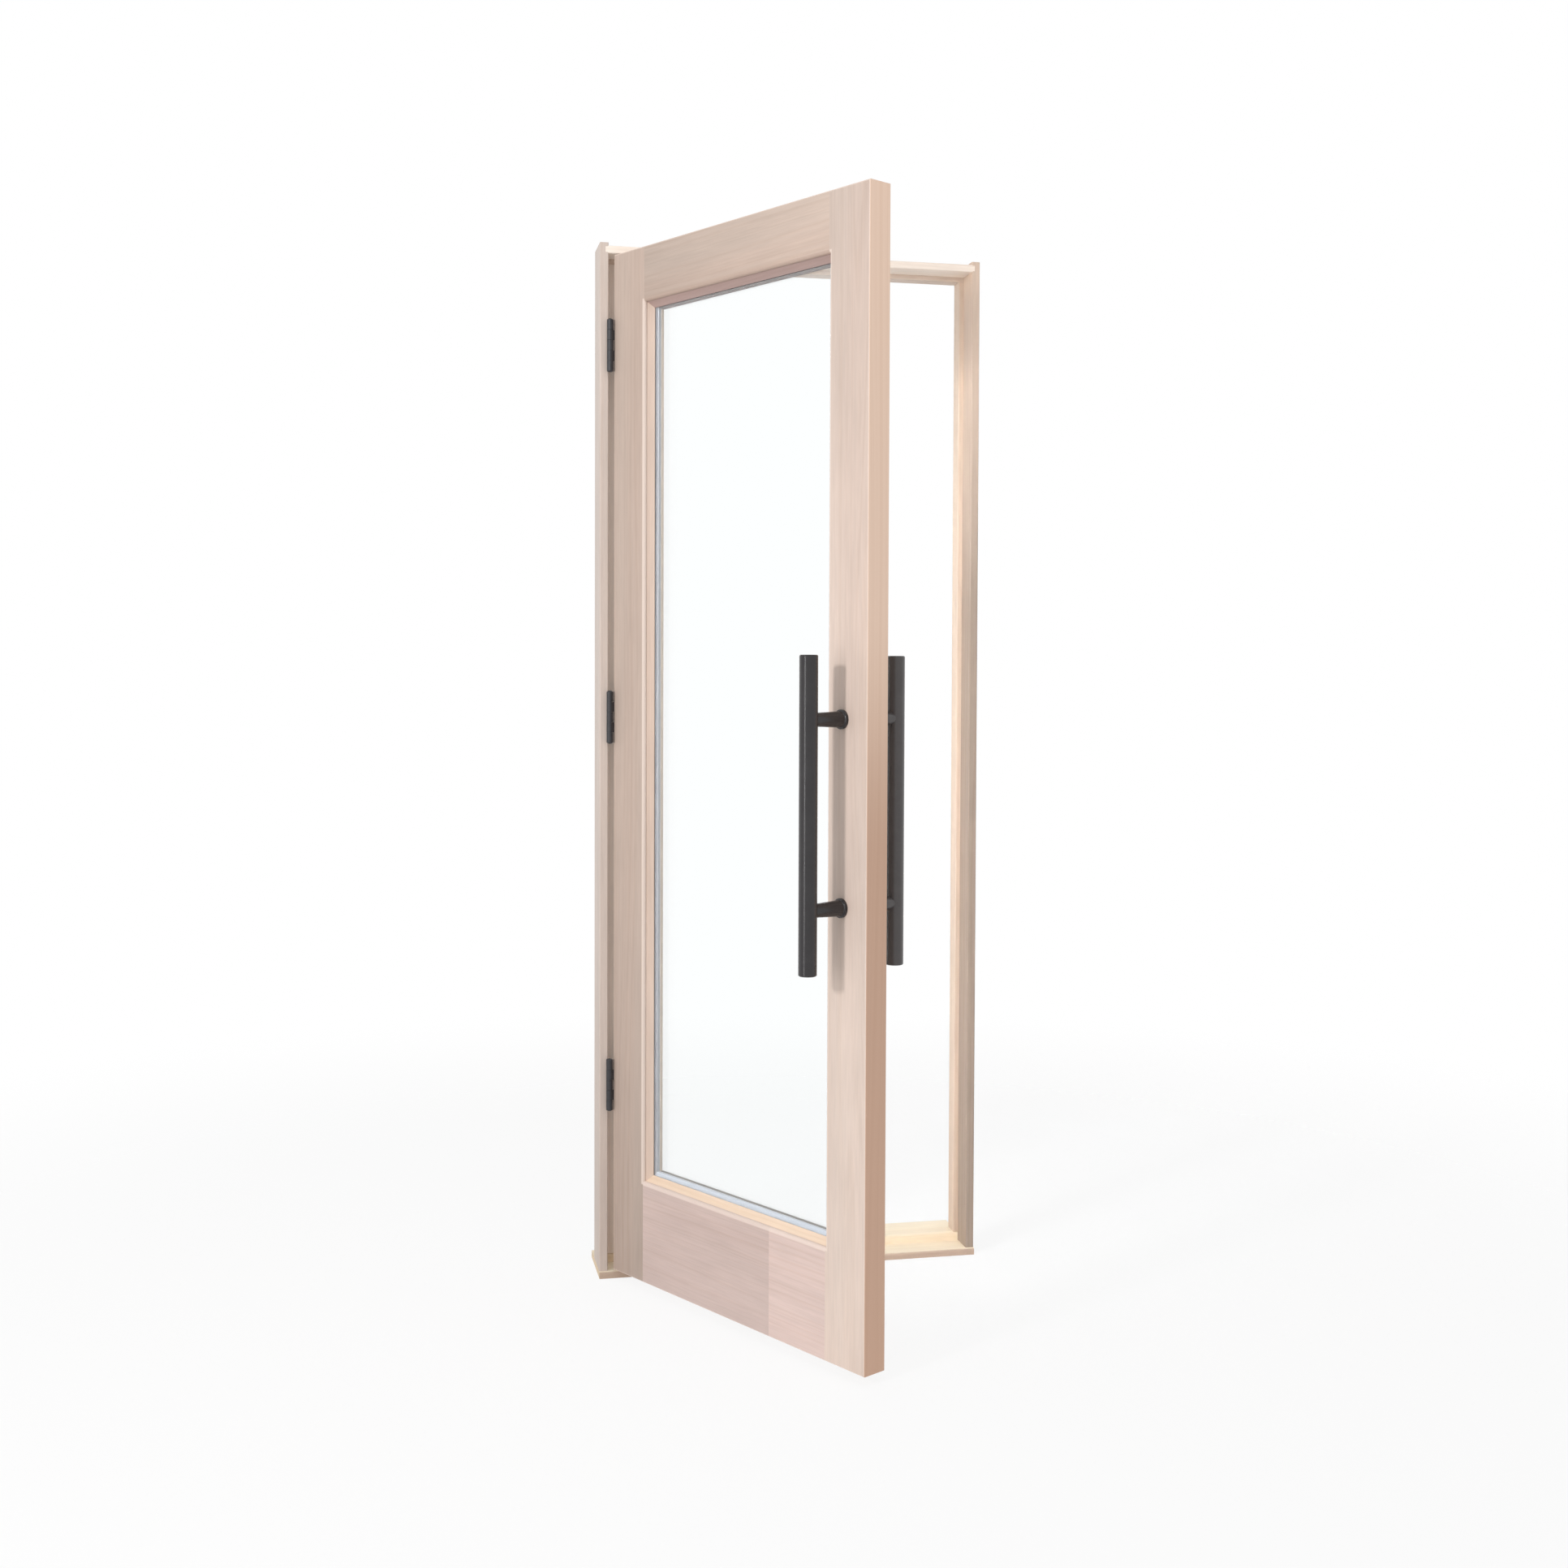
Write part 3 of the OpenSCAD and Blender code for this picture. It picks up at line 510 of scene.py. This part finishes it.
# the outer pull is given a darker coating than the inner one
outerPullFinish = coatedSteel("dark_satin_coated_steel_outer", "262325", "323031", (0.17, 0.25), 0.0009, 0.05)
innerPullFinish = coatedSteel("dark_satin_coated_steel_inner", "4e4a4a", "5a5656", (0.17, 0.25), 0.0009, 0.05)
hingeHeights = ("bottom", "middle", "top")
for height in hingeHeights:
    dress(hingeFinish, height + "_jamb_hinge_plate", height + "_leaf_hinge_plate", height + "_hinge_pin")
dress(outerPullFinish, "outer_pull_bar", "outer_upper_post", "outer_lower_post")
dress(innerPullFinish, "inner_pull_bar", "inner_upper_post", "inner_lower_post")
print("glass and metal dressed")

# ---- hinge screws: four in each plate, raised countersunk heads with a cross recess

hingeScrew = {
    "headRadius": 0.0042, "topRadius": 0.0028, "headHeight": 0.0009, "sunk": 0.00015,
    "recessLength": 0.0046, "recessWidth": 0.0010, "recessDepth": 0.0007,
    "rows": ((0.038, 0.012), (0.013, 0.026), (-0.013, 0.012), (-0.038, 0.026)),  # height, distance in from the face
}


def screwTree():
    tree = bpy.data.node_groups.new("hingeScrews", "GeometryNodeTree")
    sockets = tree.interface
    sockets.new_socket("Geometry", in_out="OUTPUT", socket_type="NodeSocketGeometry")
    sockets.new_socket("Places", in_out="INPUT", socket_type="NodeSocketGeometry")
    for label in ("Head Radius", "Top Radius", "Head Height", "Recess Length", "Recess Width", "Recess Depth", "Sunk"):
        sockets.new_socket(label, in_out="INPUT", socket_type="NodeSocketFloat")
    sockets.new_socket("Seed", in_out="INPUT", socket_type="NodeSocketInt")
    sockets.new_socket("Finish", in_out="INPUT", socket_type="NodeSocketMaterial")
    asked = addNode(tree, "NodeGroupInput").outputs
    head = addNode(tree, "GeometryNodeMeshCone", {"Vertices": 24}, {
        "Radius Top": asked["Top Radius"], "Radius Bottom": asked["Head Radius"], "Depth": asked["Head Height"]})
    slots = []
    for turned in (False, True):
        long, wide = asked["Recess Length"], asked["Recess Width"]
        size = addNode(tree, "ShaderNodeCombineXYZ", None, {
            "X": wide if turned else long, "Y": long if turned else wide, "Z": asked["Recess Depth"]})
        slots.append(addNode(tree, "GeometryNodeMeshCube", None, {"Size": size.outputs["Vector"]}))
    lift = addNode(tree, "ShaderNodeCombineXYZ", None, {"Z": asked["Head Height"]})
    bars = []
    for slotCube in slots:
        bars.append(addNode(tree, "GeometryNodeTransform", None, {
            "Geometry": slotCube.outputs["Mesh"], "Translation": lift.outputs["Vector"]}))
    cross = addNode(tree, "GeometryNodeJoinGeometry")
    for bar in bars:
        tree.links.new(bar.outputs["Geometry"], cross.inputs["Geometry"])
    cut = addNode(tree, "GeometryNodeMeshBoolean", None, {
        "Mesh 1": head.outputs["Mesh"], "Mesh 2": cross.outputs["Geometry"]}, operation="DIFFERENCE")
    facing = addNode(tree, "GeometryNodeInputNamedAttribute", {"Name": "facing"}, data_type="FLOAT_VECTOR")
    aligned = addNode(tree, "FunctionNodeAlignRotationToVector", None, {
        "Vector": facing.outputs["Attribute"]}, axis="Z")
    angle = addNode(tree, "FunctionNodeRandomValue", {2: 0.0, 3: 1.5708}, {"Seed": asked["Seed"]}, data_type="FLOAT")
    spin = addNode(tree, "ShaderNodeCombineXYZ", None, {"Z": angle.outputs[1]})
    spun = addNode(tree, "FunctionNodeEulerToRotation", None, {"Euler": spin.outputs["Vector"]})
    turn = addNode(tree, "FunctionNodeRotateRotation", None, {
        "Rotation": aligned.outputs["Rotation"], "Rotate By": spun.outputs["Rotation"]}, rotation_space="LOCAL")
    points = addNode(tree, "GeometryNodeMeshToPoints", None, {"Mesh": asked["Places"]})
    down = addNode(tree, "ShaderNodeMath", {1: -1.0}, {0: asked["Sunk"]}, operation="MULTIPLY")
    under = addNode(tree, "ShaderNodeVectorMath", None, {
        0: facing.outputs["Attribute"], "Scale": down.outputs[0]}, operation="SCALE")
    seated = addNode(tree, "GeometryNodeSetPosition", None, {
        "Geometry": points.outputs["Points"], "Offset": under.outputs["Vector"]})
    placed = addNode(tree, "GeometryNodeInstanceOnPoints", None, {
        "Points": seated.outputs["Geometry"], "Instance": cut.outputs["Mesh"],
        "Rotation": turn.outputs["Rotation"]})
    real = addNode(tree, "GeometryNodeRealizeInstances", None, {"Geometry": placed.outputs["Instances"]})
    finished = addNode(tree, "GeometryNodeSetMaterial", None, {
        "Geometry": real.outputs["Geometry"], "Material": asked["Finish"]})
    addNode(tree, "NodeGroupOutput", None, {"Geometry": finished.outputs["Geometry"]})
    return tree


def setInput(modifier, label, value):
    for item in modifier.node_group.interface.items_tree:
        if item.item_type == "SOCKET" and item.in_out == "INPUT" and item.name == label:
            modifier[item.identifier] = value


def screwPlaces(onLeaf):
    places, facings = [], []
    for height in hingeHeights:
        low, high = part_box(height + "_jamb_hinge_plate")
        middle = (low.z + high.z) / 2.0
        for up, inward in hingeScrew["rows"]:
            if onLeaf:
                places.append(leafPoint(0.022, -0.046 + inward, middle + up))
                facings.append(leafTurn @ Vector((-1.0, 0.0, 0.0)))
            else:
                places.append(Vector((0.017, -0.046 + inward, middle + up)))
                facings.append(Vector((1.0, 0.0, 0.0)))
    return places, facings


screws = screwTree()
for body, onLeaf in (("frame", False), ("leaf", True)):
    places, facings = screwPlaces(onLeaf)
    carrier = bpy.data.meshes.new("screwPlaces")
    carrier.from_pydata(places, [], [])
    facingAttribute = carrier.attributes.new("facing", "FLOAT_VECTOR", "POINT")
    for index, direction in enumerate(facings):
        facingAttribute.data[index].vector = direction
    piece = bpy.data.objects.new(body + "_hinge_screws", carrier)
    bpy.context.scene.collection.objects.link(piece)
    modifier = piece.modifiers.new("hingeScrews", "NODES")
    modifier.node_group = screws
    for label, key in (("Head Radius", "headRadius"), ("Top Radius", "topRadius"), ("Head Height", "headHeight"),
                       ("Recess Length", "recessLength"), ("Recess Width", "recessWidth"),
                       ("Recess Depth", "recessDepth"), ("Sunk", "sunk")):
        setInput(modifier, label, hingeScrew[key])
    setInput(modifier, "Seed", 3)
    setInput(modifier, "Finish", hingeFinish)
    evaluated = piece.evaluated_get(bpy.context.evaluated_depsgraph_get())
    plain = bpy.data.meshes.new_from_object(evaluated)
    piece.modifiers.clear()
    piece.data = plain
    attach(piece, body)
    print("%s: %d faces" % (piece.name, len(plain.polygons)))

# ---- floor, light and camera

studio = {
    "floorSize": 14.0, "floorColour": "f4f4f4", "floorLift": 0.86, "fadeStart": 1.3, "fadeEnd": 3.2,
    "worldStrength": 0.6,
    # name: place, aimed at, width, height, watts
    "lamps": {
        "keyLamp": ((-2.9, -2.75, 1.25), (0.2, -0.35, 0.05), 0.4, 0.4, 54.0),
        "stripLamp": ((-2.9, -2.75, 0.0), (0.2, -0.35, 0.0), 0.16, 2.0, 18.0),  # draws the line of light down the pulls
        "topLamp": ((0.4, -1.9, 2.9), (0.4, -0.2, 0.2), 2.2, 1.4, 15.0),
    },
}

low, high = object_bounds()
floorMesh = bpy.data.meshes.new("floor")
half = studio["floorSize"] / 2.0
floorMesh.from_pydata([(-half, -half, low.z), (half, -half, low.z), (half, half, low.z), (-half, half, low.z)],
                      [], [(0, 1, 2, 3)])
floor = bpy.data.objects.new("floor", floorMesh)
bpy.context.scene.collection.objects.link(floor)
floor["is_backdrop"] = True
floorPaint, tree = newMaterial("matt_white_floor")
coords = addNode(tree, "ShaderNodeTexCoord")
fromDoor = addNode(tree, "ShaderNodeVectorMath", {1: (0.35, -0.2, low.z)}, {0: coords.outputs["Object"]},
                   operation="DISTANCE")
fade = addNode(tree, "ShaderNodeMapRange", {"From Min": studio["fadeStart"], "From Max": studio["fadeEnd"]},
               {"Value": fromDoor.outputs["Value"]}, interpolation_type="SMOOTHSTEP")
speck = addNode(tree, "ShaderNodeTexNoise", {"Scale": 40.0, "Detail": 3.0}, {"Vector": coords.outputs["Object"]})
matt = addNode(tree, "ShaderNodeMapRange", {"To Min": 0.75, "To Max": 0.9}, {"Value": speck.outputs["Fac"]})
paint = addNode(tree, "ShaderNodeBsdfPrincipled", {
    "Base Color": linearColour(studio["floorColour"]), "Specular IOR Level": 0.2},
    {"Roughness": matt.outputs["Result"]})
# seen by the camera, in a gloss or through the glass, it is lifted towards white and keeps its shadow
rays = addNode(tree, "ShaderNodeLightPath")
direct = addNode(tree, "ShaderNodeMath", None, {
    0: rays.outputs["Is Camera Ray"], 1: rays.outputs["Is Glossy Ray"]}, operation="MAXIMUM")
direct = addNode(tree, "ShaderNodeMath", None, {
    0: direct.outputs[0], 1: rays.outputs["Is Transmission Ray"]}, operation="MAXIMUM")
lift = addNode(tree, "ShaderNodeMath", {1: studio["floorLift"]}, {0: direct.outputs[0]}, operation="MULTIPLY")
glow = addNode(tree, "ShaderNodeEmission", {"Color": (1.0, 1.0, 1.0, 1.0), "Strength": 1.0})
lifted = addNode(tree, "ShaderNodeMixShader", None, {
    0: lift.outputs[0], 1: paint.outputs["BSDF"], 2: glow.outputs["Emission"]})
through = addNode(tree, "ShaderNodeBsdfTransparent")
mixed = addNode(tree, "ShaderNodeMixShader", None, {
    0: fade.outputs["Result"], 1: lifted.outputs["Shader"], 2: through.outputs["BSDF"]})
addNode(tree, "ShaderNodeOutputMaterial", None, {"Surface": mixed.outputs["Shader"]})
floorMesh.materials.append(floorPaint)

world = bpy.data.worlds.new("studioWorld")
world.use_nodes = True
bpy.context.scene.world = world
tree = world.node_tree
tree.nodes.clear()
rays = addNode(tree, "ShaderNodeLightPath")
direct = addNode(tree, "ShaderNodeMath", None, {
    0: rays.outputs["Is Camera Ray"], 1: rays.outputs["Is Glossy Ray"]}, operation="MAXIMUM")
direct = addNode(tree, "ShaderNodeMath", None, {
    0: direct.outputs[0], 1: rays.outputs["Is Transmission Ray"]}, operation="MAXIMUM")
soft = addNode(tree, "ShaderNodeBackground", {"Color": (1.0, 1.0, 1.0, 1.0), "Strength": studio["worldStrength"]})
white = addNode(tree, "ShaderNodeBackground", {"Color": (1.0, 1.0, 1.0, 1.0), "Strength": 1.0})
either = addNode(tree, "ShaderNodeMixShader", None, {
    0: direct.outputs[0], 1: soft.outputs["Background"], 2: white.outputs["Background"]})
addNode(tree, "ShaderNodeOutputWorld", None, {"Surface": either.outputs["Shader"]})

for lampName, (place, target, width, height, watts) in studio["lamps"].items():
    lampData = bpy.data.lights.new(lampName, "AREA")
    lampData.shape, lampData.size, lampData.size_y, lampData.energy = "RECTANGLE", width, height, watts
    lamp = bpy.data.objects.new(lampName, lampData)
    bpy.context.scene.collection.objects.link(lamp)
    lamp.location = place
    lamp.rotation_euler = (Vector(target) - Vector(place)).to_track_quat("-Z", "Y").to_euler()
    lamp.visible_camera = False

photoView = {"place": (-0.4157, -3.7131, 0.1807), "yaw": -12.202, "pitch": -1.642, "roll": 0.215,
             "lens": 42.151, "shiftY": -0.0352}
cameraData = bpy.data.cameras.new("photoCamera")
cameraData.sensor_width = 36.0
cameraData.lens, cameraData.shift_y = photoView["lens"], photoView["shiftY"]
camera = bpy.data.objects.new("photoCamera", cameraData)
bpy.context.scene.collection.objects.link(camera)
camera.matrix_world = (Matrix.Translation(photoView["place"])
                       @ Matrix.Rotation(math.radians(photoView["yaw"]), 4, "Z")
                       @ Matrix.Rotation(math.radians(90.0 + photoView["pitch"]), 4, "X")
                       @ Matrix.Rotation(math.radians(photoView["roll"]), 4, "Z"))
bpy.context.scene.camera = camera
bpy.context.scene.view_settings.view_transform = "Standard"
print("studio ready")

low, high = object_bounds()
